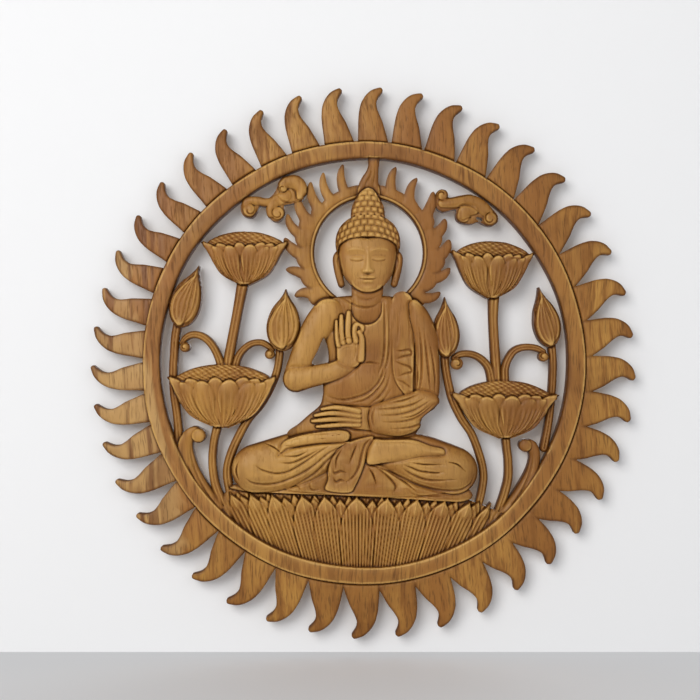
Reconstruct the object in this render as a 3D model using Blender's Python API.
"""A carved round wooden wall panel, cut from one board.

A seated figure with a flaming halo, on a lotus base, between lotus flowers and buds, stands in a
round frame with sun rays outside it. The board is carved the way a carver works it: form over
form, the ground lowered round each one, and the background cut right through.
The flat back lies in the plane Y = 0, the carving faces -Y and Z is up, in metres.
"""
import bpy
import bmesh
import numpy as np

# driving sizes, in metres
RING_INNER_RADIUS = 0.1483
RING_WIDTH = 0.0125
RING_THICKNESS = 0.0149
RAY_LENGTH = 0.0387
RAY_THICKNESS = 0.0126
RAY_TIP_THICKNESS = 0.0094
CARVING_THICKNESS = 0.0226
RAY_COUNT = 41

# how far round the first ray's tip stands from the top, in rays
RAY_START = 0.37

# the sampling step of the board and the number of triangles it is brought down to
SAMPLE = 0.001
TRIANGLES = 10000

# The carving inside the ring is drawn in shares of the opening: INNER drawing units are its

# radius, and HIGHEST drawing units are the height of the figure's front over the back.
INNER = 148.3
HIGHEST = 22.6
UNIT = RING_INNER_RADIUS / INNER
RISE = CARVING_THICKNESS / HIGHEST
OUTER = INNER + RING_WIDTH / UNIT
MID = (-1.2, 1.0)
HALO = (2.3, 81.5)

# how much of each form's own cut is taken from the ground round it
GROUND_CUT = 0.6

# a ray's two edges: the share of its length and the turn from its tip, in rays
RAY_LEFT = (
    (-0.12, -0.64), (0, -0.62), (0.1, -0.602), (0.2, -0.588), (0.3, -0.577), (0.4, -0.564),
    (0.5, -0.545), (0.6, -0.512), (0.7, -0.468), (0.8, -0.39), (0.88, -0.302), (0.94, -0.205),
    (0.97, -0.12), (1.0, 0.01)
)
RAY_RIGHT = (
    (-0.12, 0.45), (0, 0.385), (0.1, 0.325), (0.2, 0.262), (0.3, 0.2), (0.4, 0.137),
    (0.5, 0.055), (0.6, -0.012), (0.7, -0.048), (0.8, -0.03), (0.88, 0.03), (0.94, 0.08),
    (0.975, 0.06)
)


def smooth_through(points, steps, closed=False):
    """A smooth curve through rows of numbers, steps points to each stretch."""
    rows = np.asarray(points, float)
    if closed:
        rows = np.vstack([rows[-1], rows, rows[0], rows[1]])
    else:
        rows = np.vstack([2 * rows[0] - rows[1], rows, 2 * rows[-1] - rows[-2]])
    share = np.linspace(0, 1, steps, endpoint=False)[:, None]
    curve = []
    for before, start, end, after in zip(rows[:-3], rows[1:-2], rows[2:-1], rows[3:]):
        bend = 2 * before - 5 * start + 4 * end - after
        twist = 3 * start - before - 3 * end + after
        curve.append(
            0.5 * (2 * start + (end - before) * share + bend * share ** 2 + twist * share ** 3)
        )
    if not closed:
        curve.append(rows[-2:-1])
    return np.vstack(curve)


class Spot:
    """What a form knows at each point of the board."""

    def __init__(self, x, z, depth, along, across):
        self.x = x
        self.z = z

        # depth is the way in from the form's edge, along runs 0 to 1, across -1 to 1
        self.depth = depth
        self.along = along
        self.across = across


class Spine:
    """A form that follows a curve, from rows of place and half width."""

    def __init__(self, rows, steps=6):
        self.rows = smooth_through(rows, steps)
        self.rows[:, 2] = np.maximum(self.rows[:, 2], 0.15)

    def box(self):
        x, z, half = self.rows.T
        reach = half.max()
        return (x.min() - reach, x.max() + reach, z.min() - reach, z.max() + reach)

    def read(self, x, z):
        start = self.rows[:-1]
        way = self.rows[1:] - start
        span = np.hypot(way[:, 0], way[:, 1])
        before = np.concatenate([[0], np.cumsum(span)[:-1]])
        side_x = x.ravel()[:, None] - start[:, 0]
        side_z = z.ravel()[:, None] - start[:, 1]
        share = np.clip((side_x * way[:, 0] + side_z * way[:, 1]) / (span ** 2 + 1e-12), 0, 1)
        gap = np.hypot(side_x - share * way[:, 0], side_z - share * way[:, 1])
        half = start[:, 2] + share * way[:, 2]
        best = np.argmin(gap - half, axis=1)
        row = np.arange(len(best))
        turn = np.sign(side_x[row, best] * way[best, 1] - side_z[row, best] * way[best, 0])
        half = half[row, best]
        depth = (half - gap[row, best]).reshape(x.shape)
        along = ((before[best] + share[row, best] * span[best]) / span.sum()).reshape(x.shape)
        across = np.clip(turn * gap[row, best] / half, -1, 1).reshape(x.shape)
        return Spot(x, z, depth, along, across)


class Patch:
    """A form inside a closed smooth outline."""

    def __init__(self, points, steps=5):
        self.line = smooth_through(points, steps, closed=True)

    def box(self):
        x, z = self.line.T
        return (x.min(), x.max(), z.min(), z.max())

    def read(self, x, z):
        start = self.line
        end = np.roll(start, -1, axis=0)
        way = end - start
        level = z.ravel()[:, None]
        side_x = x.ravel()[:, None] - start[:, 0]
        side_z = level - start[:, 1]
        share = np.clip(
            (side_x * way[:, 0] + side_z * way[:, 1]) / ((way ** 2).sum(1) + 1e-12), 0, 1
        )
        gap = np.hypot(side_x - share * way[:, 0], side_z - share * way[:, 1]).min(axis=1)
        passes = (start[:, 1] > level) != (end[:, 1] > level)
        left = side_x < way[:, 0] * side_z / (way[:, 1] + 1e-12)
        inside = (passes & left).sum(1) % 2 == 1
        depth = np.where(inside, gap, -gap).reshape(x.shape)
        low_x, high_x, low_z, high_z = self.box()
        along = np.clip((z - low_z) / (high_z - low_z), 0, 1)
        across = np.clip(2 * (x - low_x) / (high_x - low_x) - 1, -1, 1)
        return Spot(x, z, depth, along, across)


class Band:
    """The part of the board between two radii, each with its hand-cut waver."""

    def __init__(self, inner, outer, middle, waver=0.0):
        self.inner = inner
        self.outer = outer
        self.middle = middle
        self.waver = waver

    def box(self):
        x, z = self.middle
        reach = self.outer + self.waver
        return (x - reach, x + reach, z - reach, z + reach)

    def read(self, x, z):
        away = np.hypot(x - self.middle[0], z - self.middle[1])
        turn = np.arctan2(x - self.middle[0], z - self.middle[1])
        inner = self.inner + self.waver * (0.6 * np.sin(5 * turn + 1) + 0.4 * np.sin(11 * turn))
        outer = self.outer + self.waver * (0.5 * np.sin(7 * turn + 2) + 0.3 * np.sin(13 * turn))
        half = (outer - inner) / 2
        depth = half - np.abs(away - (outer + inner) / 2)
        across = np.clip((away - (outer + inner) / 2) / half, -1, 1)
        return Spot(x, z, depth, turn / (2 * np.pi) % 1, across)


def eased(depth, radius):
    """A rounded shoulder: 0 at the edge, 1 from the radius inwards."""
    share = np.clip(depth / radius, 0, 1)
    return np.sqrt(np.clip(1 - (1 - share) ** 2, 0, 1))


def dome(across):
    """A half round section: 1 in the middle, 0 at both edges."""
    return np.sqrt(np.clip(1 - across ** 2, 0, 1))


def ramp(share):
    """A soft step from 0 to 1."""
    share = np.clip(share, 0, 1)
    return share * share * (3 - 2 * share)


def knife(turns):
    """A V cut at each whole number."""
    return 1 - np.abs(np.sin(np.pi * turns)) ** 0.7


class Board:
    """The board being carved: how high the wood stands and where it is cut through."""

    def __init__(self, reach, cell, chisel):
        count = int(round(reach / cell))
        self.cell = cell
        self.chisel = chisel
        self.margin = 2.5 * cell + 0.5
        self.axis = np.arange(-count, count + 1) * cell
        self.x, self.z = np.meshgrid(self.axis, self.axis)
        self.height = np.zeros_like(self.x)
        self.solid = np.full_like(self.x, -9.0)

    def window(self, box, margin):
        low = np.searchsorted(self.axis, [box[0] - margin, box[2] - margin])
        high = np.searchsorted(self.axis, [box[1] + margin, box[3] + margin])
        return (slice(low[1], high[1]), slice(low[0], high[0]))

    def lay(self, form, profile, cut=1.2, spread=1.1, chisel=0.0, inside=None):
        """Lays a form over what is there and cuts the ground down round its edge."""
        edge = max(chisel, self.chisel)
        view = self.window(form.box(), 3 * spread + self.margin)
        spot = form.read(self.x[view], self.z[view])
        if inside is not None:
            spot.depth = np.minimum(spot.depth, inside(spot))
        height = self.height[view]
        solid = self.solid[view]
        ground = solid > 0
        mix = np.where(ground, ramp(spot.depth / edge), 1.0)
        near = ground & (spot.depth > -3 * spread) & (spot.depth < edge)
        height = height - GROUND_CUT * cut * near * np.exp(
            -(np.minimum(spot.depth, 0) / spread) ** 2
        )
        fresh = ~ground & (spot.depth <= 0) & (solid > spot.depth)
        reached = (spot.depth > np.where(ground, 0, -self.margin)) & ~fresh
        self.height[view] = np.where(reached, height * (1 - mix) + profile(spot) * mix, height)
        self.solid[view] = np.maximum(solid, spot.depth)

    def incise(self, form, depth):
        """Cuts a line along a spine, deepest along its middle."""
        view = self.window(form.box(), 1.0)
        spot = form.read(self.x[view], self.z[view])
        line = depth * np.clip(spot.depth, 0, None) / max(form.rows[:, 2].max(), 0.1)
        self.height[view] -= line * (self.solid[view] > 0)

    def pierce(self, form):
        """Cuts a form right through the board."""
        view = self.window(form.box(), self.margin)
        spot = form.read(self.x[view], self.z[view])
        self.solid[view] = np.minimum(self.solid[view], -spot.depth)


def polar(angle_degrees, radius, middle=MID):
    a = np.radians(angle_degrees)
    return (middle[0] + radius * np.sin(a), middle[1] + radius * np.cos(a))


def waver(count):
    """A repeatable number from -1 to 1 for one hand-cut form."""
    return float(np.sin(12.9898 * (count + 1) + 78.233) * 43758.5453 % 1.0) * 2 - 1


def line(points, width, taper=0.25):
    """A knife line through points, widest in the middle."""
    n = len(points)
    rows = []
    for i, (x, z) in enumerate(points):
        t = i / (n - 1)
        rows.append(
            (x, z, width * (taper + (1 - taper) * np.sin(np.pi * min(max(t, 0.0), 1.0)) ** 0.5))
        )
    return Spine(rows)


# rays and ring
def around(turn, level, *waves):
    """A value that changes smoothly round the ring, from pairs of cosine and sine shares."""
    angle = np.radians(turn)
    return level + sum(
        (
            c * np.cos((n + 1) * angle) + s * np.sin((n + 1) * angle) for n,
            (c, s) in enumerate(waves)
        )
    )


def rays(board):
    """The flames round the ring, each leaning over and hooked at its tip, as unevenly set as by hand."""
    pitch = 360 / RAY_COUNT
    for k in range(RAY_COUNT):
        even = pitch * (k + RAY_START)
        tip = even + around(even, 1.76, (-1.7, -0.66), (-0.18, 0.4), (0.24, -0.54))
        length = RAY_LENGTH / UNIT + around(
            tip, 0, (-0.6, -0.21), (1.06, 0.44), (0.68, 0.22)
        ) + 0.7 * waver(k)
        edges = []
        for side, lean, way in (
            (RAY_LEFT, around(tip, 0, (0.062, 0.072)), 1),
            (RAY_RIGHT, around(tip, 0, (-0.055, 0.238)), -1)
        ):
            for share, turn in side[::way]:
                edges.append(
                    polar(tip + pitch * (turn + lean * (1 - share)), OUTER + share * length)
                )

        def top(spot, length=length):
            share = np.clip((np.hypot(spot.x - MID[0], spot.z - MID[1]) - OUTER) / length, 0, 1)
            fall = (RAY_THICKNESS - RAY_TIP_THICKNESS) / RISE * share ** 1.3
            return RAY_THICKNESS / RISE - fall - 0.9 * (1 - eased(spot.depth, 2.2))
        board.lay(Patch(edges, 3), top, 0.0, 0.8)


def ring(board):
    """The round frame, with a groove between it and the rays."""
    away = np.hypot(board.x - MID[0], board.z - MID[1])
    turn = np.degrees(np.arctan2(board.x - MID[0], board.z - MID[1]))
    plain = ramp((np.abs((turn - 260 + 180) % 360 - 180) - 24) / 10)
    groove = np.exp(-(np.maximum(away - OUTER, 0) / 0.9) ** 2) * (away > OUTER - 0.2)
    board.height -= 1.3 * groove * plain * (board.solid > 0)
    level = RING_THICKNESS / RISE
    board.lay(
        Band(INNER, OUTER, MID, 0.6),
        lambda spot: level - 0.5 + 0.5 * dome(spot.across) - 0.6 * (1 - eased(spot.depth, 1.0)),
        0.0
    )


# clouds
def scroll_ball(board, x, z, r, top, turn=1, cut=1.4, start=0.0):
    """A rolled end: a low ball with a spiral cut into it."""
    form = Spine([(x - 0.05, z, r), (x + 0.05, z, r)], 2)
    board.lay(
        form,
        lambda spot: top - 2.4 * (
            1 - dome(np.clip(np.hypot(spot.x - x, spot.z - z) / r, 0, 1) * 0.9)
        ),
        cut=cut
    )
    turns = zip(np.linspace(0, 5.2, 10), np.linspace(1.0, 0.24, 10))
    points = [
        (x + turn * share * r * np.cos(start + a), z + share * r * np.sin(start + a)) for a,
        share in turns
    ]
    board.incise(line(points, 0.5 + 0.06 * r), 1.5)


def clouds(board):
    base = 11.0
    body = lambda hi: lambda spot: base + hi * eased(spot.depth, 4.5)

    # upper left
    board.lay(
        Patch(
            [
                (-88.6, 119.9), (-82.3, 122.1), (-74.4, 121), (-71, 120.4), (-66.5, 124.4),
                (-64.3, 129), (-63.1, 132.9), (-59.7, 136.3), (-52.9, 136.9), (-47.3, 132.9),
                (-45, 127.2), (-44.4, 121.5), (-48.4, 118.2), (-55.2, 116.5), (-59.5, 115.2),
                (-58.4, 109.7), (-62.5, 104.2), (-67.6, 104.6), (-71, 109.1), (-72.2, 114.8),
                (-76.7, 115.3), (-78.6, 111.4), (-82.3, 106.8), (-88.6, 108), (-90.8, 112.5),
                (-90.2, 117)
            ],
            3
        ),
        body(0.9), cut=0.0
    )
    board.lay(
        Spine(
            [
                (-47.5, 122, 3), (-46.8, 128, 4.4), (-50.5, 132, 5.2), (-56, 132.4, 4.6),
                (-60, 130, 3.6)
            ]
        ),
        lambda spot: 11.2 + 2.6 * dome(spot.across * 0.95), cut=0.7
    )
    board.lay(
        Spine(
            [
                (-86.5, 114, 3.4), (-85.5, 118, 3.6), (-79, 118.8, 3.2), (-71, 117.6, 3.2),
                (-64, 119, 4.4), (-58, 122.6, 4.6)
            ]
        ),
        lambda spot: 11.0 + 2.0 * dome(spot.across * 0.95), cut=0.5
    )
    board.lay(
        Spine([(-66, 117, 3.6), (-69, 113, 3.2), (-68.6, 109.6, 3.2)]),
        lambda spot: 11.2 + 2.0 * dome(spot.across * 0.95), cut=0.5
    )
    scroll_ball(board, -84.2, 112.0, 4.9, 14.0, -1, 0.5, 1.6)
    scroll_ball(board, -63.6, 109.7, 4.8, 14.0, 1, 0.5, 2.2)
    scroll_ball(board, -60.0, 127.8, 3.3, 14.0, -1, 0.8, 3.6)
    board.incise(line([(-64, 122.5), (-60, 118.6), (-54, 117.6), (-48.6, 119.4)], 1.1), 1.2)
    board.incise(line([(-54, 128), (-51, 124.6), (-50.4, 119.6)], 0.9), 0.8)

    # upper right
    board.lay(
        Patch(
            [
                (55.5, 127.3), (58.9, 125.6), (60, 121.4), (64, 121.7), (69, 122.8),
                (77, 123.4), (84.9, 118.8), (91.7, 113.2), (96, 108.1), (95.4, 102.6),
                (89.4, 100.7), (84.9, 102.4), (81.5, 103.6), (75.8, 101.9), (67.9, 103.6),
                (65.4, 107.5), (65.9, 112), (64, 112.6), (56.6, 110.9), (52.1, 113.2),
                (51, 118.8), (51.5, 125)
            ],
            3
        ),
        body(0.9), cut=0.0
    )
    board.lay(
        Spine(
            [
                (56, 117, 3.6), (63, 117.2, 3.8), (70, 118, 4), (77, 118, 5), (84, 114.5, 5),
                (89, 110, 4.2)
            ]
        ),
        lambda spot: 11.2 + 2.3 * dome(spot.across * 0.95), cut=0.6
    )
    board.lay(
        Spine([(79, 112, 3.4), (73, 111.6, 5), (71, 107.8, 5)]),
        lambda spot: 11.4 + 2.2 * dome(spot.across * 0.95), cut=0.7
    )
    scroll_ball(board, 55.6, 123.0, 4.2, 13.8, -1, 0.5, 4.4)
    scroll_ball(board, 90.6, 105.6, 5.0, 13.8, 1, 0.5, 1.2)
    board.incise(line([(66, 113), (70, 115.6), (77, 114.6), (82, 110.4)], 1.1), 1.1)
    board.incise(line([(68, 106), (71, 104.6), (76, 106.6), (78.6, 104.6)], 0.9), 0.9)
    board.pierce(Spine([(81.4, 105.9, 1.2), (83.2, 105.1, 1.5)], 2))


def halo(board):
    flames = [
        ((-13.6, 122), (-17.5, 144.5), 4.4, -1.2), ((-24.3, 118.5), (-31.5, 138.5), 4.3, -1.2),
        ((-33.6, 112.5), (-40.6, 131.6), 4.7, -1), ((-42.2, 104), (-49.9, 123.6), 4.9, -1),
        ((-46, 94), (-57.2, 108), 4.6, -1.2), ((-44, 79.5), (-58.8, 90.5), 5.6, -1),
        ((-42, 64.5), (-57, 69.3), 4.8, 0.4), ((-36.5, 50.5), (-50.7, 50.7), 4.9, 1.0),
        ((19.3, 121.5), (21, 142.8), 4.7, -1), ((32, 116), (36.3, 135), 4.6, -1),
        ((43, 106.5), (49.5, 124.5), 5.2, 0.6), ((49, 93), (58, 104.6), 5.2, 0.8),
        ((50.5, 77.5), (61, 89.3), 5.8, 1), ((46.5, 62.5), (61, 68.8), 5.0, 1),
        ((39, 49), (53.8, 51.3), 4.8, 1)
    ]
    rim = Band(39.6, 49.6, HALO)
    board.lay(rim, lambda spot: 10.4 - 0.5 * (1 - eased(spot.depth, 1)), cut=0)
    for root, tip, half, bend in flames:
        dx, dz = (tip[0] - root[0], tip[1] - root[1])
        L = np.hypot(dx, dz)
        nx, nz = (-dz / L, dx / L)
        rows = []
        for share, sway, width in (
            (-0.2, 0.2, 1.9), (0.0, -0.1, 1.3), (0.2, -0.7, 0.95), (0.42, -1.15, 0.86),
            (0.64, -1.1, 0.74), (0.83, -0.5, 0.56), (0.95, 0.2, 0.36), (1.0, 0.45, 0.22)
        ):
            rows.append(
                (
                    root[0] + share * dx + nx * bend * sway * 1.5,
                    root[1] + share * dz + nz * bend * sway * 1.5, half * width * 0.9
                )
            )
        board.lay(
            Spine(rows), lambda spot: 10.4 + 0.5 * dome(spot.across) - 0.6 * spot.along,
            cut=0.0, inside=lambda spot: np.hypot(spot.x - HALO[0], spot.z - HALO[1]) - 42
        )

    # the flame over the crown, up to the ring
    board.lay(
        Spine(
            [
                (2.4, 119, 8.8), (2.4, 126, 8.4), (2.8, 132, 6.6), (4.6, 138, 4.8),
                (5.8, 144, 3.9), (6.2, 151, 4.4)
            ]
        ),
        lambda spot: 11.0 + 1.4 * dome(spot.across), cut=0.9
    )
    board.incise(line([(-1.2, 123), (0.2, 131), (3.6, 138), (4.8, 146)], 0.9), 0.9)
    board.incise(line([(6.4, 123), (5.6, 130), (6.8, 138), (7.4, 146)], 0.8), 0.8)

    # bead round the opening
    bead = Band(39.9, 42.6, HALO)
    board.lay(bead, lambda spot: 10.4 + 1.3 * dome(spot.across), cut=0.9, spread=0.7)


# leaves
def stem(board, rows, low=8.6, high=10.8, groove=True):
    form = Spine(rows)
    board.lay(
        form, lambda spot: low + (high - low) * dome(spot.across * 0.97), cut=1.6, spread=1.2
    )
    if groove:
        board.incise(Spine([(x, z, w * 0.3) for x, z, w in rows]), 1.1)


def stems(board):
    # they pass behind the flowers, so they come first
    stem(
        board,
        [
            (-135.5, -58, 3.6), (-136.9, -40, 3), (-139.3, -22, 3), (-140.1, -7, 3),
            (-139.4, 8, 3), (-138.6, 20, 3), (-137.0, 29, 3.1)
        ]
    )
    stem(
        board,
        [
            (-97.5, -97, 3.4), (-100.7, -80, 3.3), (-98.6, -67, 3.2), (-93.3, -54, 3.1),
            (-85.5, -40, 3.0), (-77, -30, 3.0), (-71, -20, 3), (-65.5, -8, 2.9), (-63, 3, 2.9),
            (-62.3, 14, 2.9)
        ]
    )
    stem(
        board,
        [
            (-100.8, -3, 3.6), (-98.5, 10.5, 3.6), (-95.8, 25, 3.5), (-93, 40, 3.5),
            (-89.4, 59, 4.2)
        ],
        9.0, 11.6
    )
    stem(
        board,
        [
            (-101.5, -109, 3.8), (-105.2, -98.5, 3.5), (-109.6, -86, 3.2), (-111.5, -70, 3.0),
            (-110.2, -55, 2.9), (-107.0, -42, 3.4)
        ],
        9.0, 11.4
    )
    stem(
        board,
        [
            (130, -61, 2.9), (133.2, -44, 2.7), (135.5, -24, 2.6), (136.6, -5, 2.6),
            (136.4, 5, 2.7), (135.4, 15, 2.9)
        ]
    )
    stem(
        board,
        [
            (81.3, -106, 2.7), (84.8, -92, 2.8), (86, -80, 2.8), (83.6, -67.5, 2.8),
            (77.5, -51, 2.8), (70, -39.5, 2.9), (63.5, -26, 3), (60, -12, 3), (58, 0, 3),
            (57.7, 9, 3)
        ]
    )
    stem(
        board,
        [(95.8, -12, 3.5), (94.8, 2, 3.4), (93.8, 18, 3.3), (93.1, 34, 3.3), (93.4, 49, 3.9)],
        9.0, 11.6
    )
    stem(
        board,
        [
            (96.8, -107, 3.0), (101, -95, 3.0), (103.9, -83, 3), (104, -70, 2.9),
            (102.8, -60, 2.9), (101.9, -50, 3.2)
        ],
        9.0, 11.4
    )


def scroll(board, rows, ball, r, turn):
    stem(board, rows, 9.0, 11.6)
    scroll_ball(board, ball[0], ball[1], r, 13.2, turn)


def scrolls(board):
    scroll(
        board,
        [
            (-104.8, -3, 3.0), (-106.6, 4, 3.0), (-110, 11.5, 2.9), (-114.6, 17.4, 2.8),
            (-120.3, 21, 2.7), (-126.2, 21.6, 2.6), (-131, 19.2, 2.3), (-133.6, 15.5, 1.8)
        ],
        (-131.2, 12.6), 3.6, 1
    )
    scroll(
        board,
        [
            (-95, -3, 2.7), (-93.2, 4, 2.7), (-90.5, 9, 2.6), (-86.5, 13, 2.5),
            (-81.5, 15.6, 2.4), (-75.5, 15.8, 2.4), (-70.6, 13.2, 2.2), (-67.8, 10.6, 1.8)
        ],
        (-69.6, 7.4), 3.5, -1
    )
    scroll(
        board,
        [
            (92, -13, 3.0), (90, -3.4, 2.9), (86, 2.4, 2.8), (80.6, 6.2, 2.7),
            (74.6, 7.8, 2.6), (68.8, 7.2, 2.5), (64.6, 4.6, 2.2)
        ],
        (66.3, 0.6), 4.4, -1
    )
    scroll(
        board,
        [
            (101.6, -12, 3.0), (101.6, -3, 2.9), (104, 4, 2.8), (108, 9.6, 2.7),
            (113.4, 12.2, 2.6), (119.4, 12.6, 2.5), (125, 11.6, 2.4), (129.4, 9.2, 2.1)
        ],
        (129.3, 5.6), 3.5, 1
    )


def knob(board, x, z, r, top):
    # the rolled end of a leaf, a low smooth dome
    board.lay(
        Spine([(x - 0.05, z, r), (x + 0.05, z, r)], 2),
        lambda spot: top + 1.6 * dome(spot.across), cut=0.5, spread=0.6
    )


def curled_leaves(board):
    # the leaf at each side grows up from the base along the ring and rolls over
    board.lay(
        Spine(
            [
                (-98, -113, 2.6), (-104, -108.5, 4.2), (-112, -99.5, 5.0), (-120, -88.5, 5.6),
                (-126.5, -77, 5.8), (-130, -67, 5.8), (-131.2, -59.5, 5.6),
                (-129.4, -53.6, 5.0), (-124.6, -50.4, 5.4), (-121, -51.8, 4.9)
            ]
        ),
        lambda spot: 10.0 + 2.4 * dome(spot.across) - 0.8 * spot.across, cut=1.2
    )
    knob(board, -121.2, -51.6, 5.3, 12.6)
    board.incise(
        line([(-106, -105), (-115, -93.5), (-122.4, -80.5), (-126.4, -67), (-127, -59)], 1.1),
        1.1
    )
    board.incise(line([(-110, -103.5), (-119.4, -92), (-126.6, -79), (-130.6, -67)], 1.0), 0.9)
    board.lay(
        Spine(
            [
                (94, -114, 2.2), (100, -109, 3.6), (108, -99.6, 4.4), (115, -89.4, 4.6),
                (120.4, -79, 4.3), (122.8, -70, 3.9), (122.6, -63.6, 4.0), (120, -59.4, 4.6),
                (116.6, -58.7, 4.5)
            ]
        ),
        lambda spot: 10.0 + 2.4 * dome(spot.across) + 0.8 * spot.across, cut=1.2
    )
    knob(board, 116.2, -58.8, 4.7, 12.4)
    board.incise(
        line([(103, -106), (112.4, -93), (118.6, -80.5), (120.8, -70), (120.4, -63.6)], 1.1),
        1.1
    )

# flowers
BOWL = (
    (-1.0, 0.1), (-0.95, 0.2), (-0.87, 0.36), (-0.75, 0.5), (-0.6, 0.61), (-0.45, 0.68),
    (-0.3, 0.74), (-0.2, 0.8), (-0.1, 0.9), (0.02, 1.0)
)


def bowl_half(v, swell):
    """Half the width of the bowl at a height, in shares of the rim's."""
    heights, halves = zip(*BOWL)
    return np.interp(v, heights, halves) * (1 + (swell - 1) * np.clip(-v * 4, 0, 1))


def flower(board, cx, rim, half, tall, domed, swell=1.0, tilt=0.0, level=12.4):
    """An open lotus from the side: seed head, then petals along the bowl from the sides inwards."""
    sway, lift = (np.sin(np.radians(tilt)), np.cos(np.radians(tilt)))

    def place(u, v):
        x, z = (u * half, v * tall)
        return (cx + lift * x - sway * z, rim + sway * x + lift * z)

    def inward(spot):
        return (
            (spot.x - cx) * lift + (spot.z - rim) * sway,
            (spot.z - rim) * lift - (spot.x - cx) * sway
        )
    seeds = Patch(
        [
            place(-0.84, -0.12), place(-0.82, 0.03), place(-0.55, domed * 0.68),
            place(-0.22, domed * 0.97), place(0.05, domed), place(0.34, domed * 0.9),
            place(0.62, domed * 0.55), place(0.84, 0.02), place(0.84, -0.12), place(0, -0.2)
        ]
    )

    def net(spot):
        u, v = inward(spot)
        leaning = knife((u + 0.7 * np.sin(v * 0.9) + 1.5 * v) / 4.7)
        crossed = knife((u - 2.4 * v + 0.8 * np.sin(u * 0.5)) / 7.6)
        return level - 1.0 + 2.2 * eased(spot.depth, 5) - 1.0 * leaning - 0.55 * crossed
    board.lay(seeds, net, 0.5)
    sides = [(bowl_half(v, swell), v) for v, _ in BOWL]
    bowl = Patch(
        [place(-u, v) for u, v in sides[::-1]] + [place(u, v) for u, v in sides] + [
            place(0.72, -0.04), place(0.4, -0.1), place(0, -0.13), place(-0.4, -0.1),
            place(-0.72, -0.04)
        ]
    )

    def fluted(spot, lines):
        u, v = inward(spot)
        share = np.clip(-v / tall, 0, 1)
        lane = u / (half * np.maximum(bowl_half(-share, swell), 0.08))
        return 0.85 * knife(
            np.arcsin(np.clip(lane, -1, 1)) * lines
        ) * ramp((share - 0.2) / 0.22) * ramp((0.985 - share) / 0.05)

    def cup(spot):
        u = inward(spot)[0] / half
        return level - 1.8 + 4.0 * np.sqrt(
            np.clip(1 - (u / 1.02) ** 2, 0, 1)
        ) - 2.2 * (1 - eased(spot.depth, 5)) - fluted(spot, 6.7)
    board.lay(bowl, cup, 0.9)

    # each petal follows a meridian of the bowl: its place across, its top and its width
    for lane, top, wide, near in (
        (-0.95, 0.03, 0.12, 0), (0.95, 0.03, 0.12, 0), (-0.64, -0.03, 0.17, 0.0),
        (0.66, -0.03, 0.17, 0.0), (-0.14, -0.02, 0.19, 0.0), (0.43, -0.02, 0.19, 0.0),
        (-0.8, -0.09, 0.14, 0.4), (0.82, -0.09, 0.14, 0.4), (-0.44, -0.1, 0.2, 0.6),
        (0.16, -0.08, 0.21, 0.9), (0.6, -0.12, 0.18, 0.6)
    ):
        rows = []
        for share, width in (
            (0.0, 0.3), (0.25, 0.62), (0.5, 0.86), (0.7, 1.0), (0.84, 0.78), (0.93, 0.44),
            (1.0, 0.05)
        ):
            v = -0.98 + (top + 0.98) * share
            edge = bowl_half(v, swell)
            reach = wide * width * (
                0.45 + 0.55 * edge / 0.8
            ) if abs(lane) < 0.9 else wide * width
            x, z = place(lane * (edge - 0.04) + (0.04 * lane if share > 0.9 else 0), v)
            rows.append((x, z, reach * half))

        def petal(spot, near=near):
            u = np.clip(inward(spot)[0] / half, -1, 1)
            rise = 1.1 * dome(spot.across) * ramp(spot.along * 2.5 - 0.6) + 0.7 * spot.along
            return level - 1.8 + 3.8 * np.sqrt(
                np.clip(1 - (u * 0.95) ** 2, 0, 1)
            ) + 1.1 * near * ramp(spot.along * 2) + rise - fluted(spot, 6.7)
        board.lay(Spine(rows), petal, 0.7, 0.7)


def flowers(board):
    flower(board, -87.6, 88.6, 32.2, 30.5, 0.26)
    flower(board, -104.0, -9.6, 40.2, 35.8, 0.27, 1.09)
    flower(board, 92.3, 81.2, 30.6, 33.0, 0.25, 1.04, -2)
    flower(board, 101.2, -22.0, 39.8, 31.0, 0.33, 1.0, -1)


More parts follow.
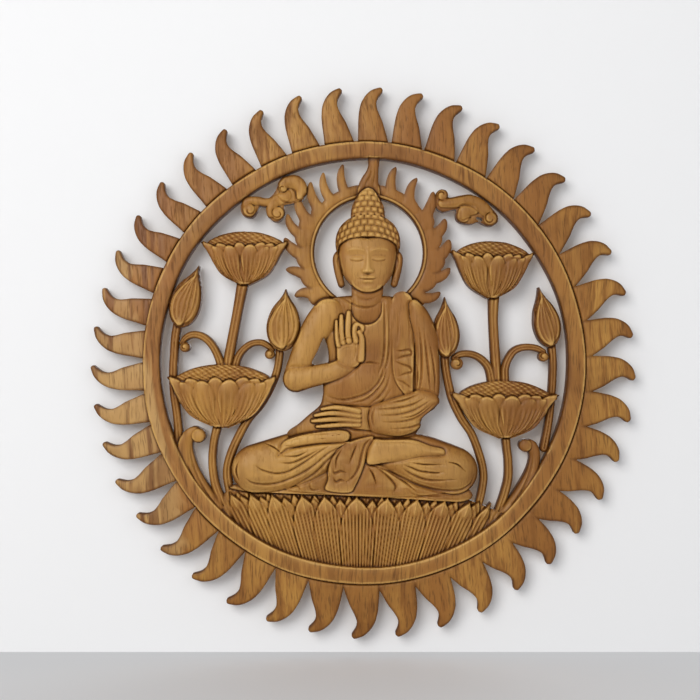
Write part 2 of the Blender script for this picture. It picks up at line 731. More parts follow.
def bud(board, base, tip, half, lean, level=12.6):
    """A closed bud: side petals wrapped over one another, with flutes that run up to its point."""
    way_x, way_z = (tip[0] - base[0], tip[1] - base[1])
    length = np.hypot(way_x, way_z)

    def place(share, side, width):
        x = base[0] + share * way_x + side * way_z / length
        return (x, base[1] + share * way_z - side * way_x / length, width)

    def fluted(spot, top, turns):
        return top - 0.8 * knife(
            np.arcsin(np.clip(spot.across, -1, 1)) * turns
        ) * ramp(spot.along * 7) * ramp((0.96 - spot.along) / 0.2)
    hull = [
        place(share, lean * bend, half * width) for share, bend,
        width in (
            (-0.03, 0, 0.22), (0.05, 0.1, 0.56), (0.16, 0.3, 0.86), (0.32, 1, 1),
            (0.52, 1, 0.83), (0.72, 0.6, 0.45), (0.88, 0.2, 0.17), (1, 0, 0.03)
        )
    ]
    board.lay(
        Spine(hull),
        lambda spot: fluted(spot, level - 1.6 + 3.2 * dome(spot.across * 0.96), 3.0), 1.0
    )
    side = [
        place(share, half * out + lean * bend, half * width) for share, out, bend,
        width in (
            (0.0, 0.05, 0, 0.2), (0.16, 0.3, 0.6, 0.52), (0.38, 0.34, 1, 0.6),
            (0.6, 0.26, 0.8, 0.42), (0.8, 0.1, 0.3, 0.2), (0.95, 0, 0, 0.06)
        )
    ]
    board.lay(
        Spine(side),
        lambda spot: fluted(
            spot, level + 0.2 + 2.2 * dome(spot.across * 0.95) - 0.6 * spot.across, 1.9
        ),
        0.8, 0.8
    )
    front = [
        place(share, -half * out + lean * bend, half * width) for share, out, bend,
        width in (
            (-0.01, 0.0, 0, 0.26), (0.14, 0.16, 0.6, 0.6), (0.32, 0.24, 1, 0.66),
            (0.5, 0.2, 0.8, 0.5), (0.68, 0.1, 0.4, 0.26), (0.84, -0.04, 0, 0.05)
        )
    ]
    board.lay(
        Spine(front),
        lambda spot: fluted(
            spot, level + 1.0 + 2.2 * dome(spot.across * 0.95) - 0.6 * spot.along, 1.9
        ),
        0.8, 0.8
    )


def buds(board):
    bud(board, (-134.8, 31), (-121, 71.5), 11.2, -0.9)
    bud(board, (-60.8, 14.5), (-57.8, 54.6), 12.4, 0.3, 13.2)
    bud(board, (58.6, 8.5), (57.5, 48.8), 10.0, 0.2, 13.2)
    bud(board, (134.2, 16), (125.8, 56), 9.8, 0.5)


# base
def base(board):
    far = (-5, -285)

    def edge(x):
        return np.interp(x, [-100, 40, 95], [-93, -97, -101])

    def flutes(spot, start):
        turn = np.arctan2(spot.x - far[0], spot.z - far[1])
        return 1.3 * knife(turn / 0.0147) * start

    def within(spot):
        return INNER + 6 - np.hypot(spot.x - MID[0], spot.z - MID[1])
    ground = Patch(
        [
            (-103, -103), (-99, -91), (-60, -89), (0, -92), (60, -95), (84, -102), (97, -107),
            (104, -112), (70, -142), (0, -158), (-70, -142), (-108, -114)
        ],
        4
    )
    board.lay(ground, lambda spot: 10.8 - 0.5 * flutes(spot, 1.0), cut=0.5, inside=within)

    def petal(tip, half, level, rib, slim):
        tx, tz = tip
        dx, dz = (far[0] - tx, far[1] - tz)
        L = np.hypot(dx, dz)
        dx, dz = (dx / L, dz / L)

        # its foot lies under the ring
        depth = 0
        while np.hypot(tx + dx * depth - MID[0], tz + dz * depth - MID[1]) < INNER + 9:
            depth += 0.5
        rows = []
        for d, w in (
            (0, 0.03), (3, 0.15), (7, 0.39), (12, 0.66), (18, 0.89), (25, 1.02), (33, 1.03),
            (43, 0.95), (depth, 0.87)
        ):
            if d <= depth and (not rows or d > last + 1):
                rows.append((tx + dx * d, tz + dz * d, max(half * w ** slim, 0.4)))
                last = d
        form = Spine(rows[::-1])

        def top(spot):
            away = np.hypot(spot.x - MID[0], spot.z - MID[1])
            low = ramp((INNER - 1 - away) / 16)
            down = (spot.x - tx) * dx + (spot.z - tz) * dz
            side = 1 - (spot.x / 118) ** 2 * 0.35
            heel = np.exp(-(spot.across / 0.16) ** 2) * ramp((15 - down) / 6)
            bulge = level * side + 1.7 * dome(spot.across * 0.97) * ramp((46 - down) / 26)
            bulge += 0.9 * ramp((20 - down) / 14) + rib * heel
            return bulge - flutes(
                spot, ramp((down - 8 - 3 * np.cos(spot.across * 2.4)) / 4)
            ) - 1.8 * (1 - low)
        board.lay(form, top, cut=1.5, spread=0.9, inside=within)
    for x in (-93, -83, -71, -52, -37, -12, -24, 12, 31, 51, 66, 82):
        petal((x, edge(x) - 1.0), 6.4, 11.6, 0.3, 0.5)
    for x in (-90, -76, -59, -38, -18.5, 5, 25, 45, 62.5, 79):
        petal((x, edge(x) - 3.2), 8.6, 12.4, 0.4, 0.6)
    front = (
        (-98.5, 7.5), (-84, 8.6), (-68.2, 9.2), (-46.4, 10.6), (-30, 10.6), (-6.4, 12.2),
        (16, 11.6), (37.8, 10.6), (57.8, 10.6), (76, 9.4), (91, 6.2)
    )
    for x, half in sorted(front, key=lambda f: -abs(f[0] + 2)):
        petal((x, edge(x)), half, 13.8, 0.7, 0.9)


# figure
def figure(board):
    # cloth under the legs
    board.lay(
        Patch(
            [
                (-97, -88), (-90, -92), (-60, -94), (-20, -95.5), (20, -97.5), (52, -99.5),
                (72, -99.6), (77, -93), (60, -84), (0, -80), (-60, -80)
            ],
            5
        ),
        lambda spot: 13.0 + 1.2 * eased(spot.depth, 5), cut=1.4
    )

    # robe below the lap: middle
    board.lay(
        Patch(
            [
                (-60, -88), (-30, -60), (-10, -52), (15, -60), (45, -80), (60, -92), (30, -96),
                (0, -96), (-30, -94)
            ],
            5
        ),
        lambda spot: 14.0 + 1.6 * eased(spot.depth, 8), cut=0.6
    )

    # legs as two great rolls meeting in the lap
    leg_l = Spine(
        [
            (-6, -52, 10), (-26, -60, 14.5), (-46, -67, 18.5), (-66, -73, 18.8),
            (-79.5, -75.8, 17.6)
        ]
    )
    board.lay(
        leg_l, lambda spot: 11.6 + 8.6 * dome(spot.across * 0.97) - 0.8 * (1 - spot.along),
        cut=1.8
    )
    leg_r = Spine(
        [(2, -55, 9), (20, -62.5, 13.5), (38, -69, 18.0), (54, -74.2, 18.0), (64, -77.2, 17.2)]
    )
    board.lay(
        leg_r, lambda spot: 11.6 + 8.4 * dome(spot.across * 0.97) - 0.8 * (1 - spot.along),
        cut=1.8
    )

    # torso
    trunk = Patch(
        [
            (-10, 50), (-26, 47.6), (-33, 40), (-33, 26), (-28, 14), (-27, 2), (-30.5, -12),
            (-31, -22), (-33.5, -30), (-41, -36.5), (-49, -43.5), (-57, -50), (-50, -57),
            (-30, -56), (0, -56), (30, -54), (39, -46), (41, -36), (46, -20), (46, 0),
            (46, 22), (43, 36), (36, 45), (22, 48.6), (12, 50)
        ],
        5
    )

    def body(spot):
        x, z = (spot.x - 2, spot.z)
        chest = 2.4 * np.exp(-((x + 1) / 26) ** 2 - ((z - 26) / 17) ** 2)
        belly = 2.2 * np.exp(-((x + 6) / 20) ** 2 - ((z + 10) / 11) ** 2)
        return 12.4 + 3.8 * np.sqrt(
            np.clip(1 - (x / 52) ** 2, 0, 1)
        ) * eased(spot.depth, 7) + chest + belly
    board.lay(trunk, body, cut=1.5)

    # belly and the robe's edge round it
    board.incise(line([(-2.4, 0.8), (3.3, 1.7), (10.8, 0.2)], 1.2), 1.3)
    for points, width, depth in (
        (
            [
                (-29, -22.5), (-17.7, -25.4), (-8, -24.0), (0.8, -20.8), (8.1, -14.6),
                (12.0, -7.2), (12.8, -2.4)
            ],
            1.5, 1.5
        ),
        ([(-10, -28), (0, -25.2), (7.8, -18.9), (13.2, -10.8), (15.2, -2.6)], 1.2, 1.3),
        ([(0.6, -30.5), (9.2, -23.8), (14.8, -16.3), (18, -6.4)], 1.2, 1.2),
        ([(6, -31.5), (13, -25.5), (18.6, -18)], 1.0, 0.9),
        ([(-31, -26), (-20, -29.4), (-12, -30)], 1.0, 0.8)
    ):
        board.incise(line(points, width), depth)

    # the robe over the shoulder: a raised lapel and long folds
    lapel = Spine(
        [
            (26.5, 45, 8.0), (27, 36, 8.4), (27.4, 20, 8.4), (27.2, 4, 8.2), (27.6, -9, 7.0),
            (31, -20, 3.6)
        ]
    )
    board.lay(
        lapel, lambda spot: 17.0 + 0.6 * dome(spot.across) - 1.0 * ramp((spot.z - 30) / 20),
        cut=0.8, spread=0.8
    )
    for points, width, depth in (
        ([(20.5, 10.4), (26, 10.0), (31.6, 10.8), (33, 7.4), (26, 5.6), (21.6, 3.4)], 1.2, 1.3),
        ([(21, 2.6), (26, 0.4), (31.6, -1.6), (33.4, -5), (28, -6.6), (23.4, -8.6)], 1.2, 1.3),
        ([(23, -11), (28, -13.2), (33.4, -17.4)], 1.2, 1.2),
        ([(22.6, 14), (23.6, 26), (23.4, 40)], 0.9, 0.6),
        ([(31.2, 12.5), (31.6, 26), (30.4, 40)], 0.9, 0.6),
        ([(13.4, 47), (13.6, 30), (13.6, 14), (12.2, 2), (8.6, -8)], 1.3, 1.3),
        ([(17.2, 47), (17.2, 30), (17.0, 14), (15.6, 2), (12.6, -8)], 1.2, 1.2),
        ([(36, 44), (35.6, 30), (35.8, 14), (35.9, -2.4), (35.7, -20.5)], 1.4, 1.4)
    ):
        board.incise(line(points, width), depth)

    # far arm under its sleeve
    sleeve = Spine(
        [
            (35, 43, 4.5), (38.5, 35, 7.4), (42.6, 23, 8.6), (44.3, 9, 8.8), (44.8, -5, 8.8),
            (44.8, -17, 8.8), (43.6, -26, 8.6)
        ]
    )
    board.lay(
        sleeve,
        lambda spot: 13.2 + 4.4 * dome(spot.across * 0.96) - 1.0 * ramp((spot.z - 25) / 20),
        cut=1.5
    )
    for points, width in (
        ([(38, 30), (40, 14), (40.5, 0), (39.8, -12), (38, -21)], 1.3),
        ([(42, 26), (43.8, 9), (45.7, -9), (46.9, -21.8)], 1.2),
        ([(45.5, 20), (48.4, 4), (50, -10), (50, -20)], 1.0),
        ([(36.6, 2), (37.6, -8), (37.0, -18)], 0.9)
    ):
        board.incise(line(points, width), 1.3)

    # hand in the lap
    board.lay(
        Patch(
            [
                (-20, -43.8), (-22, -38), (-20, -32.4), (-12, -30.2), (-2, -30.4), (6, -31.8),
                (8, -40), (6, -47.4), (-4, -47.2), (-12, -45.8)
            ],
            5
        ),
        lambda spot: 15.8 + 3.0 * eased(spot.depth, 5), cut=1.2
    )
    for rows in (
        [(-5, -43.2, 2.3), (-15, -43.2, 2.2), (-25, -44.0, 2.0), (-35, -44.8, 1.5)],
        [(-5, -40.2, 2.5), (-17, -39.4, 2.4), (-28, -39.8, 2.2), (-38.4, -40.8, 1.6)],
        [(-5, -37, 2.5), (-17, -35.4, 2.4), (-27, -35.2, 2.2), (-36.4, -36.8, 1.6)],
        [(-5, -33.8, 2.4), (-15, -31.8, 2.3), (-23, -31.0, 2.0), (-31.6, -32.2, 1.5)]
    ):
        board.lay(
            Spine(rows), lambda spot: 16.6 + 2.6 * dome(spot.across) + 0.5 * (1 - spot.along),
            cut=0.8, spread=0.6
        )
    board.incise(line([(-16, -45.6), (-8, -47.4), (0, -48)], 0.9), 0.7)

    # forearm and sleeve crossing to the lap
    cross = Patch(
        [
            (50, -21), (53.5, -27), (48, -33), (41, -39), (38.5, -47), (26, -52), (12, -51),
            (4, -48.6), (1.4, -42), (1.4, -35), (4.4, -29.6), (14, -26), (30, -21), (40, -18)
        ],
        5
    )
    board.lay(cross, lambda spot: 14.6 + 4.6 * eased(spot.depth, 10), cut=1.4)
    for points, width in (
        ([(42.6, -23.9), (33.6, -28.8), (21.1, -31.4), (7.5, -32.2)], 1.3),
        ([(47.2, -25.5), (35.9, -32.4), (24.5, -35.8), (9.2, -36.8)], 1.4),
        ([(49.4, -28.4), (40.4, -36.0), (29.1, -40.6), (12, -41.6)], 1.4),
        ([(49.9, -31.8), (42.6, -40.4), (33.6, -45.0), (16.5, -46.8)], 1.3),
        ([(38, -21.5), (28, -25.6), (17, -27.6)], 1.1),
        ([(46, -29.5), (36, -36.4), (26, -38.6)], 0.9),
        ([(47.6, -36), (41.5, -44.2), (36, -48.4)], 1.0)
    ):
        board.incise(line(points, width), 1.5)
    board.incise(line([(6.6, -30.6), (4.6, -38), (6.4, -47.6)], 1.1), 1.2)

    # feet
    board.lay(
        Patch(
            [
                (-63.4, -66), (-60, -56), (-49, -51.2), (-35.5, -48.6), (-21, -47), (-13, -48),
                (-11, -52), (-15, -56.2), (-33, -57.5), (-48.8, -60), (-58.5, -63.4)
            ],
            5
        ),
        lambda spot: 16.4 + 3.2 * eased(spot.depth, 4.5), cut=1.6
    )
    board.incise(
        line([(-62, -64.5), (-56, -60.6), (-48, -59.4), (-33, -57.4), (-16, -56.6)], 1.5), 1.6
    )
    for points in (
        [(-48, -50.6), (-34, -50.2), (-22, -49.6)], [(-56, -55), (-50, -53.4), (-44, -53)],
        [(-60, -58.2), (-54, -58.6), (-50, -57.4)], [(-36, -53.8), (-26, -53.2)],
        [(-24, -51), (-17, -50.2)]
    ):
        board.incise(line(points, 0.8), 0.8)
    board.lay(
        Patch(
            [
                (1, -72), (2, -58), (6, -53.6), (15, -53.9), (33.6, -53.9), (46.9, -58.3),
                (56, -60.6), (57.6, -64.4), (54, -66.2), (39.6, -67), (27.5, -69.4),
                (15, -71.2)
            ],
            5
        ),
        lambda spot: 16.6 + 3.6 * eased(spot.depth, 6), cut=1.7
    )
    board.incise(line([(12, -56.5), (28, -56.0), (40, -58.5)], 0.9), 0.5)

    # the robe's end hanging between the legs
    board.lay(
        Patch(
            [
                (3.6, -51.5), (-10, -55), (-20, -60), (-25, -67), (-27.6, -75), (-27.5, -83),
                (-29.5, -90.6), (-20, -93), (-10.5, -92.6), (-7, -87.6), (-3, -79), (0, -70),
                (2.2, -61), (6, -54)
            ],
            5
        ),
        lambda spot: 15.8 + 1.8 * eased(spot.depth, 4), cut=1.5
    )
    for points, width in (
        ([(4.4, -53), (-0.4, -57.6), (-2.8, -65), (-5.2, -74.5), (-9, -81), (-14, -85)], 1.4),
        ([(-6, -57), (-9, -64), (-12, -72)], 1.1),
        ([(-23.5, -75), (-22.5, -78.4), (-18, -77), (-13.6, -78.4)], 1.4),
        ([(-23.4, -81.6), (-21.5, -84.6), (-18, -83.4), (-14.6, -84.4)], 1.4),
        ([(-24.5, -67), (-27, -74.5), (-26, -81)], 1.0),
        ([(-17, -61), (-21, -68), (-21.5, -75)], 1.0)
    ):
        board.incise(line(points, width), 1.6)

    # folds on the legs
    for points, width in (
        (
            [
                (-79.8, -72.5), (-74.3, -76.1), (-64.6, -78.5), (-54.9, -76.7), (-42.8, -69.5),
                (-33.1, -62.6), (-27, -59)
            ],
            1.3
        ),
        (
            [
                (-86.4, -82.2), (-81.6, -85.2), (-73.1, -86.4), (-62.2, -85.2), (-47.6, -79.2),
                (-37.9, -73.1), (-27, -64), (-19, -60)
            ],
            1.4
        ),
        ([(-62.2, -70.7), (-52.5, -70.7), (-41.6, -65.8), (-33, -61)], 1.2),
        ([(-60, -66), (-50, -66), (-42, -62.6)], 0.9),
        ([(-53.7, -89), (-37.9, -79.4), (-28.2, -70), (-19, -61.5)], 1.4),
        ([(-92, -70), (-93.6, -77), (-91.6, -84)], 1.0),
        ([(-75, -56), (-66, -60), (-61, -64)], 0.8),
        (
            [
                (4, -72.8), (15.4, -76.7), (27.5, -82.2), (39.6, -87.6), (54.2, -91.0),
                (67.5, -90.8), (75.4, -86.6), (78.5, -80)
            ],
            1.4
        ),
        ([(27.5, -72.2), (33.6, -74.6), (39.6, -76.9), (50.5, -78.1), (55.4, -77.4)], 1.1),
        ([(26.3, -74.6), (33.6, -79.2), (45.7, -83.4), (66.3, -82.8)], 1.3),
        ([(32, -70.5), (42, -72), (55, -72)], 0.9), ([(58, -70), (66, -72), (72, -77)], 0.8),
        ([(2.1, -74.3), (5.7, -80.4), (8.1, -88)], 1.0),
        ([(8.1, -74.5), (15.4, -80.4), (21.5, -87.6), (20.2, -92.6)], 1.2),
        ([(15, -77), (28, -85), (38, -93)], 1.0)
    ):
        board.incise(line(points, width * 1.1), 1.8)

    # left-hand cloth under the knee
    for points, width in (
        ([(-40, -84), (-40.6, -88), (-38, -91), (-32, -89.8)], 1.0),
        ([(-56, -90), (-50, -88), (-46, -92)], 0.8),
        ([(31, -98), (40, -96), (52, -98.6)], 0.8),
        ([(30, -90), (36, -94.4), (48, -95.6), (60, -95)], 0.9)
    ):
        board.incise(line(points, width), 1.0)

    # upper arm, near side, with the gap between arm and body
    board.lay(
        Spine(
            [
                (-27, 37, 11.6), (-34.6, 27.5, 10.8), (-42.2, 13, 9.6), (-47.3, 0, 9.4),
                (-50.5, -10.6, 9.5)
            ]
        ),
        lambda spot: 13.6 + 4.8 * dome(spot.across * 0.95) - 0.6 * (1 - spot.along) * 0,
        cut=1.4, chisel=1.4
    )
    board.lay(
        Spine(
            [
                (-50.5, -10.6, 9.5), (-40, -8.8, 8.0), (-28, -6.2, 7.4), (-18, -2.6, 7.0),
                (-12.4, 3, 8.0)
            ]
        ),
        lambda spot: 14.4 + 4.8 * dome(spot.across * 0.95) + 0.8 * spot.along, cut=1.5,
        chisel=1.2
    )
    board.pierce(
        Patch([(-30.3, 19.5), (-28.4, 11), (-28.4, 2.2), (-38.8, 0.6), (-34.6, 10)], 4)
    )

    # the raised hand
    board.lay(
        Patch(
            [
                (-20.4, 3), (-21.2, 9), (-20.9, 15.5), (-18, 19.5), (-10, 21), (-2.6, 21),
                (-1.6, 13), (-2.6, 5), (-6, -1.5), (-15, -2)
            ],
            5
        ),
        lambda spot: 17.6 + 1.8 * eased(spot.depth, 4) - 0.8 * np.exp(
            -((spot.x + 11) / 5) ** 2 - ((spot.z - 9) / 6) ** 2
        ),
        cut=1.4
    )
    for rows in (
        [(-19.6, 14, 2.2), (-20.6, 20, 2.1), (-20.9, 26, 1.9), (-21, 31.2, 1.5)],
        [(-16.2, 16, 2.4), (-17.2, 22, 2.3), (-17.5, 29, 2.2), (-17.5, 35, 1.8)],
        [(-12.0, 17, 2.6), (-12.8, 24, 2.5), (-12.6, 31, 2.4), (-12.2, 37.4, 2.0)],
        [
            (-6.9, 17, 2.5), (-8.0, 23, 2.4), (-7.4, 28, 2.2), (-4.4, 29.2, 2.0),
            (-2.2, 26.6, 1.9), (-3.2, 23.6, 1.7)
        ],
        [(-3.4, 4, 2.9), (-2.8, 12, 2.6), (-2.8, 19, 2.3), (-4.6, 23.4, 2.0)]
    ):
        board.lay(
            Spine(rows), lambda spot: 17.9 + 2.2 * dome(spot.across) - 0.3 * spot.along,
            cut=1.1, spread=0.7
        )
    board.incise(line([(-18.5, 15.8), (-13, 19.2), (-8, 18.6)], 0.8), 0.8)
    board.incise(line([(-7.5, 16.4), (-7, 9), (-8.8, 2.5)], 0.8), 0.7)
    board.incise(line([(-18, 10), (-13, 12.6), (-9, 12)], 0.6), 0.4)


def head(board):
    cx = 1.6

    # neck and its folds
    board.lay(
        Spine([(0.6, 40, 11.5), (1, 48, 11.3), (1.4, 58, 11.6)]),
        lambda spot: 13.2 + 3.6 * dome(spot.across * 0.9), cut=0.6
    )
    board.incise(
        line(
            [(-18, 49.6), (-11.3, 45.0), (-5.6, 42.2), (0, 41.4), (5.7, 42.2), (11, 45.4)], 1.2
        ),
        1.2
    )
    board.incise(line([(-9, 50.4), (-3, 47.6), (3, 47.2), (10, 50)], 1.0), 0.8)

    # ears
    for s in (-1, 1):
        ear = [
            (cx + s * 20.4, 81, 2.6), (cx + s * 22.2, 77, 3.2), (cx + s * 21.8, 70, 3.0),
            (cx + s * 20.4, 63, 2.7), (cx + s * 19.2, 58.4, 2.5)
        ]
        board.lay(Spine(ear), lambda spot: 13.4 + 1.8 * dome(spot.across), cut=1.4)
        board.incise(
            line([(cx + s * 20.6, 79), (cx + s * 21.9, 75), (cx + s * 21.0, 69)], 0.9), 0.9
        )
        board.incise(line([(cx + s * 20.2, 64), (cx + s * 19.4, 60)], 0.7), 0.6)

    # skull and face, one egg
    skull = Patch(
        [
            (cx, 108), (cx - 12, 104.5), (cx - 19.6, 96), (cx - 21.4, 86), (cx - 20.4, 74),
            (cx - 17.2, 64), (cx - 11, 56.2), (cx - 5, 52.6), (cx, 51.8), (cx + 5, 52.6),
            (cx + 11, 56.2), (cx + 17.2, 64), (cx + 20.4, 74), (cx + 21.4, 86),
            (cx + 19.6, 96), (cx + 12, 104.5)
        ],
        5
    )

    def egg(spot):
        u, v = ((spot.x - cx) / 21.6, (spot.z - 80) / 28.5)
        return 12.6 + 8.0 * np.sqrt(np.clip(1 - u ** 2 * 0.96 - v ** 2 * 0.55, 0.0, 1))
    board.lay(skull, egg, cut=1.8, chisel=0.9)
    w = board.window((cx - 24, cx + 24, 48, 112), 1)
    x, z = (board.x[w] - cx, board.z[w])
    H = board.height[w]
    g = lambda x0, z0, sx, sz: np.exp(-((x - x0) / sx) ** 2 - ((z - z0) / sz) ** 2)
    add = np.zeros_like(H)
    ax = np.abs(x)

    # brow: two even arcs springing from the nose
    brow = 82.6 - 0.035 * (ax - 9) ** 2 + 0.9
    add += 0.75 * np.exp(
        -((z - brow) / 1.3) ** 2
    ) * ramp((16.5 - ax) / 3) * ramp((ax - 1.2) / 2)

    # eye sockets, lids, the closed line
    add -= 1.25 * (g(-8, 77.6, 6.6, 3.4) + g(8, 77.6, 6.6, 3.4))
    add += 1.35 * (g(-8, 76.4, 4.6, 2.2) + g(8, 76.4, 4.6, 2.2))
    lid = 74.6 + 0.045 * (ax - 8) ** 2
    add -= 0.85 * np.exp(-((z - lid) / 0.55) ** 2) * ramp((5.6 - np.abs(ax - 8)) / 1.6)
    crease = 79.0 - 0.03 * (ax - 8) ** 2
    add -= 0.35 * np.exp(-((z - crease) / 0.5) ** 2) * ramp((5.8 - np.abs(ax - 8)) / 1.8)

    # nose: a narrow bridge widening to the wings
    run = np.clip((82 - z) / 15.5, 0, 1)
    half = 1.5 + 1.9 * run ** 1.8
    nose = (0.7 + 1.9 * run) * np.exp(-(x / half) ** 2) * ramp((z - 65.6) / 1.6) * ramp((84 - z) / 3)
    add += nose
    add += 0.85 * (g(-3.1, 67.6, 1.5, 1.5) + g(3.1, 67.6, 1.5, 1.5))
    add -= 0.5 * (g(-4.9, 67.4, 0.8, 1.6) + g(4.9, 67.4, 0.8, 1.6))
    add -= 0.6 * g(0, 65.1, 2.6, 0.7)

    # mouth: calm, closed
    mouth = 61.6 + 0.012 * x ** 2
    add += 1.05 * np.exp(
        -((z - 62.9 + 0.012 * x ** 2) / 1.05) ** 2
    ) * ramp((6.4 - ax) / 3) * (1 - 0.25 * g(0, 63.6, 0.9, 1.0))
    add += 1.15 * np.exp(-((z - 60.2) / 1.15) ** 2) * ramp((5.0 - ax) / 3)
    add -= 0.95 * np.exp(-((z - mouth) / 0.5) ** 2) * ramp((6.6 - ax) / 1.6)
    add -= 0.35 * (g(-7.0, 61.8, 1.0, 1.1) + g(7.0, 61.8, 1.0, 1.1))
    add -= 0.3 * g(0, 64.6, 0.8, 1.0)

    # chin and cheeks
    add -= 0.5 * g(0, 57.8, 4.2, 1.0)
    add += 0.9 * g(0, 55.4, 4.0, 2.4)
    add += 0.55 * (g(-10.5, 68, 5, 4.6) + g(10.5, 68, 5, 4.6))

    # the mark between the brows
    add += 0.5 * g(0, 84.6, 0.9, 0.9)
    board.height[w] = H + add * (board.solid[w] > 0)

    # hair: the crown knot, then the cap before it, both in rows of snail curls

    def curls(spot, wide, tall, low, droop):
        side = spot.x - cx
        row = (spot.z - low + droop * side ** 2) / tall
        turn = 24 * np.arcsin(
            np.clip(side / 25, -0.98, 0.98)
        ) / wide + 0.5 * (np.floor(row) % 2)
        return np.abs(np.sin(np.pi * turn) * np.sin(np.pi * row)) ** 0.7
    knot = Spine(
        [
            (cx, 103, 12.4), (cx, 109.5, 12.2), (cx, 114.5, 10.2), (cx, 119.5, 7.8),
            (cx + 0.4, 122.6, 5.6)
        ]
    )
    board.lay(
        knot,
        lambda spot: 14.6 + 5.0 * dome(spot.across * 0.95) - 0.8 * spot.along + 1.9 * curls(
            spot, 4.8, 4.0, 106.2, 0.012
        ),
        cut=1.2
    )
    cap = Patch(
        [
            (cx - 21.6, 80), (cx - 20.2, 86), (cx - 14, 90.2), (cx - 6, 91.6), (cx, 91.9),
            (cx + 6, 91.6), (cx + 14, 90.2), (cx + 20.2, 86), (cx + 21.6, 80), (cx + 23.4, 86),
            (cx + 22.6, 94), (cx + 18.8, 101), (cx + 12, 106), (cx + 5, 108), (cx - 5, 108),
            (cx - 12, 106), (cx - 18.8, 101), (cx - 22.6, 94), (cx - 23.4, 86)
        ],
        5
    )
    board.lay(
        cap,
        lambda spot: 13.7 + 6.4 * np.sqrt(
            np.clip(
                1 - ((spot.x - cx) / 24) ** 2 * 0.95 - ((spot.z - 90) / 26) ** 2 * 0.6, 0, 1
            )
        ) + 2.0 * curls(spot, 5.0, 4.5, 91.6, 0.014),
        cut=0.9, spread=0.8
    )


def carved_board():
    """Every form in the order it is laid, from the far ones to the near ones."""
    reach = MID[1] + OUTER + RAY_LENGTH / UNIT + 8
    board = Board(reach, SAMPLE / UNIT, 1.3)
    for carve in (
        rays, halo, clouds, stems, scrolls, curled_leaves, base, ring, flowers, buds, figure,
        head
    ):
        carve(board)
    return board


def crossings(board, step_x, step_z, places, count):
    """The points where the outline passes between neighbours, and their numbers."""
    rows, columns = board.solid.shape
    near = board.solid[:rows - step_z, :columns - step_x]
    far = board.solid[step_z:, step_x:]
    numbers = -np.ones(near.shape, int)
    row, column = np.nonzero((near > 0) != (far > 0))
    share = near[row, column] / (near[row, column] - far[row, column])
    share = np.clip(share, 0.06, 0.94)
    numbers[row, column] = count + np.arange(len(row))
    height = board.height[row, column] * (1 - share) + board.height[
        row + step_z, column + step_x
    ] * share
    x = board.axis[column] + step_x * share * board.cell
    z = board.axis[row] + step_z * share * board.cell
    places.append(np.stack([x, z, height], axis=1))
    return numbers


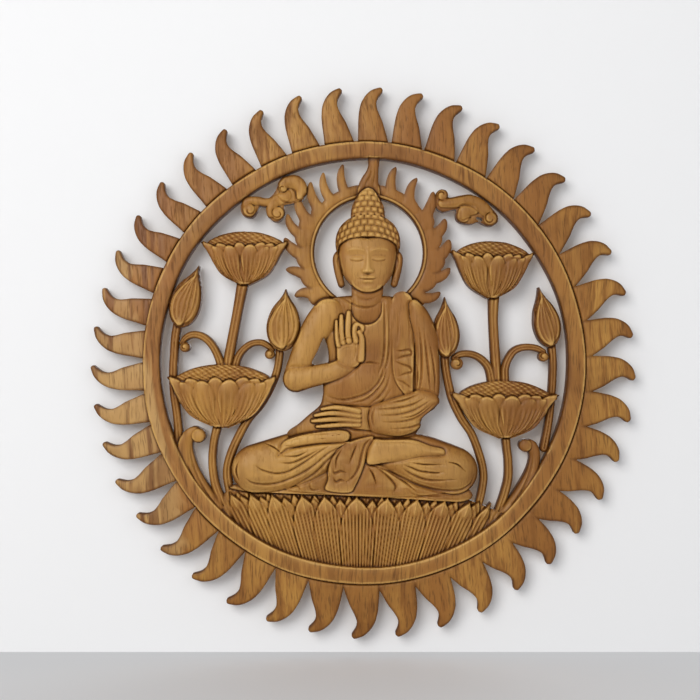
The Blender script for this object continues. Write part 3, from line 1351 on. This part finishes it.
def front_faces(board):
    """The points of the front, its faces, and the pairs of points along its edge."""
    board.solid[np.abs(board.solid) < 0.001] = -0.001
    inside = board.solid > 0
    numbers = -np.ones(inside.shape, int)
    numbers[inside] = np.arange(inside.sum())
    row, column = np.nonzero(inside)
    places = [np.stack([board.axis[column], board.axis[row], board.height[inside]], axis=1)]
    flat = crossings(board, 1, 0, places, inside.sum())
    tall = crossings(board, 0, 1, places, inside.sum() + len(places[1]))
    corner = np.stack([numbers[:-1, :-1], numbers[:-1, 1:], numbers[1:, 1:], numbers[1:, :-1]])
    edge = np.stack([flat[:-1], tall[:, 1:], flat[1:], tall[:, :-1]])
    code = sum(((corner[turn] >= 0) * 2 ** turn for turn in range(4)))
    faces, rim = ([], [])
    for kind in range(1, 16):
        row, column = np.nonzero(code == kind)
        filled = [bool(kind & 2 ** turn) for turn in range(4)]
        loops = [[]]
        for turn in range(4):
            if kind in (5, 10):
                if filled[turn]:
                    loops.append([corner[turn], edge[turn], edge[turn - 1]])
                continue
            if filled[turn]:
                loops[0].append(corner[turn])
            if filled[turn] != filled[(turn + 1) % 4]:
                loops[0].append(edge[turn])
        for loop in loops:
            if not loop:
                continue
            face = np.stack([ids[row, column] for ids in loop], axis=1)
            faces.extend(face.tolist())
            for turn in range(len(loop)):
                cut = face[:, [turn, (turn + 1) % len(loop)]]
                rim.extend(cut[(cut >= inside.sum()).all(axis=1)].tolist())
    return (np.concatenate(places), faces, rim)


def drop_loose_pieces(shape):
    """Keeps the largest connected body."""
    left = set(shape.verts)
    bodies = []
    while left:
        body = {left.pop()}
        front = list(body)
        while front:
            grown = [link.other_vert(vert) for vert in front for link in vert.link_edges]
            front = list(set(grown) & left)
            left.difference_update(front)
            body.update(front)
        bodies.append(body)
    bodies.sort(key=len)
    for body in bodies[:-1]:
        bmesh.ops.delete(shape, geom=list(body), context='VERTS')


def wood():
    """Oiled golden brown hardwood."""
    material = bpy.data.materials.new('oiled_wood')
    material.use_nodes = True
    shader = material.node_tree.nodes['Principled BSDF']
    shader.inputs['Base Color'].default_value = (0.43, 0.205, 0.055, 1)
    shader.inputs['Roughness'].default_value = 0.5
    shader.inputs['Metallic'].default_value = 0
    return material


def panel():
    """The board as one closed body with a flat back and straight cut walls."""
    places, faces, rim = front_faces(carved_board())
    count = len(places)
    x = (places[:, 0] - MID[0]) * UNIT
    z = (places[:, 1] - MID[1]) * UNIT
    depth = places[:, 2] * RISE
    front = np.stack([x, -depth, z], axis=1)
    back = np.stack([x, 0 * depth, z], axis=1)
    walls = [(end, start, start + count, end + count) for start, end in rim]
    rear = [[corner + count for corner in reversed(face)] for face in faces]
    mesh = bpy.data.meshes.new('carved_panel')
    mesh.from_pydata(np.concatenate([front, back]).tolist(), [], faces + walls + rear)
    shape = bmesh.new()
    shape.from_mesh(mesh)
    drop_loose_pieces(shape)
    bmesh.ops.triangulate(shape, faces=shape.faces[:])
    total = len(shape.faces)
    shape.to_mesh(mesh)
    shape.free()
    mesh.materials.append(wood())
    body = bpy.data.objects.new('carved_panel', mesh)
    bpy.context.collection.objects.link(body)
    fewer = body.modifiers.new('fewer_faces', 'DECIMATE')
    fewer.ratio = min(1.0, TRIANGLES / total)
    return body
for old in list(bpy.data.objects):
    bpy.data.objects.remove(old, do_unlink=True)
panel()
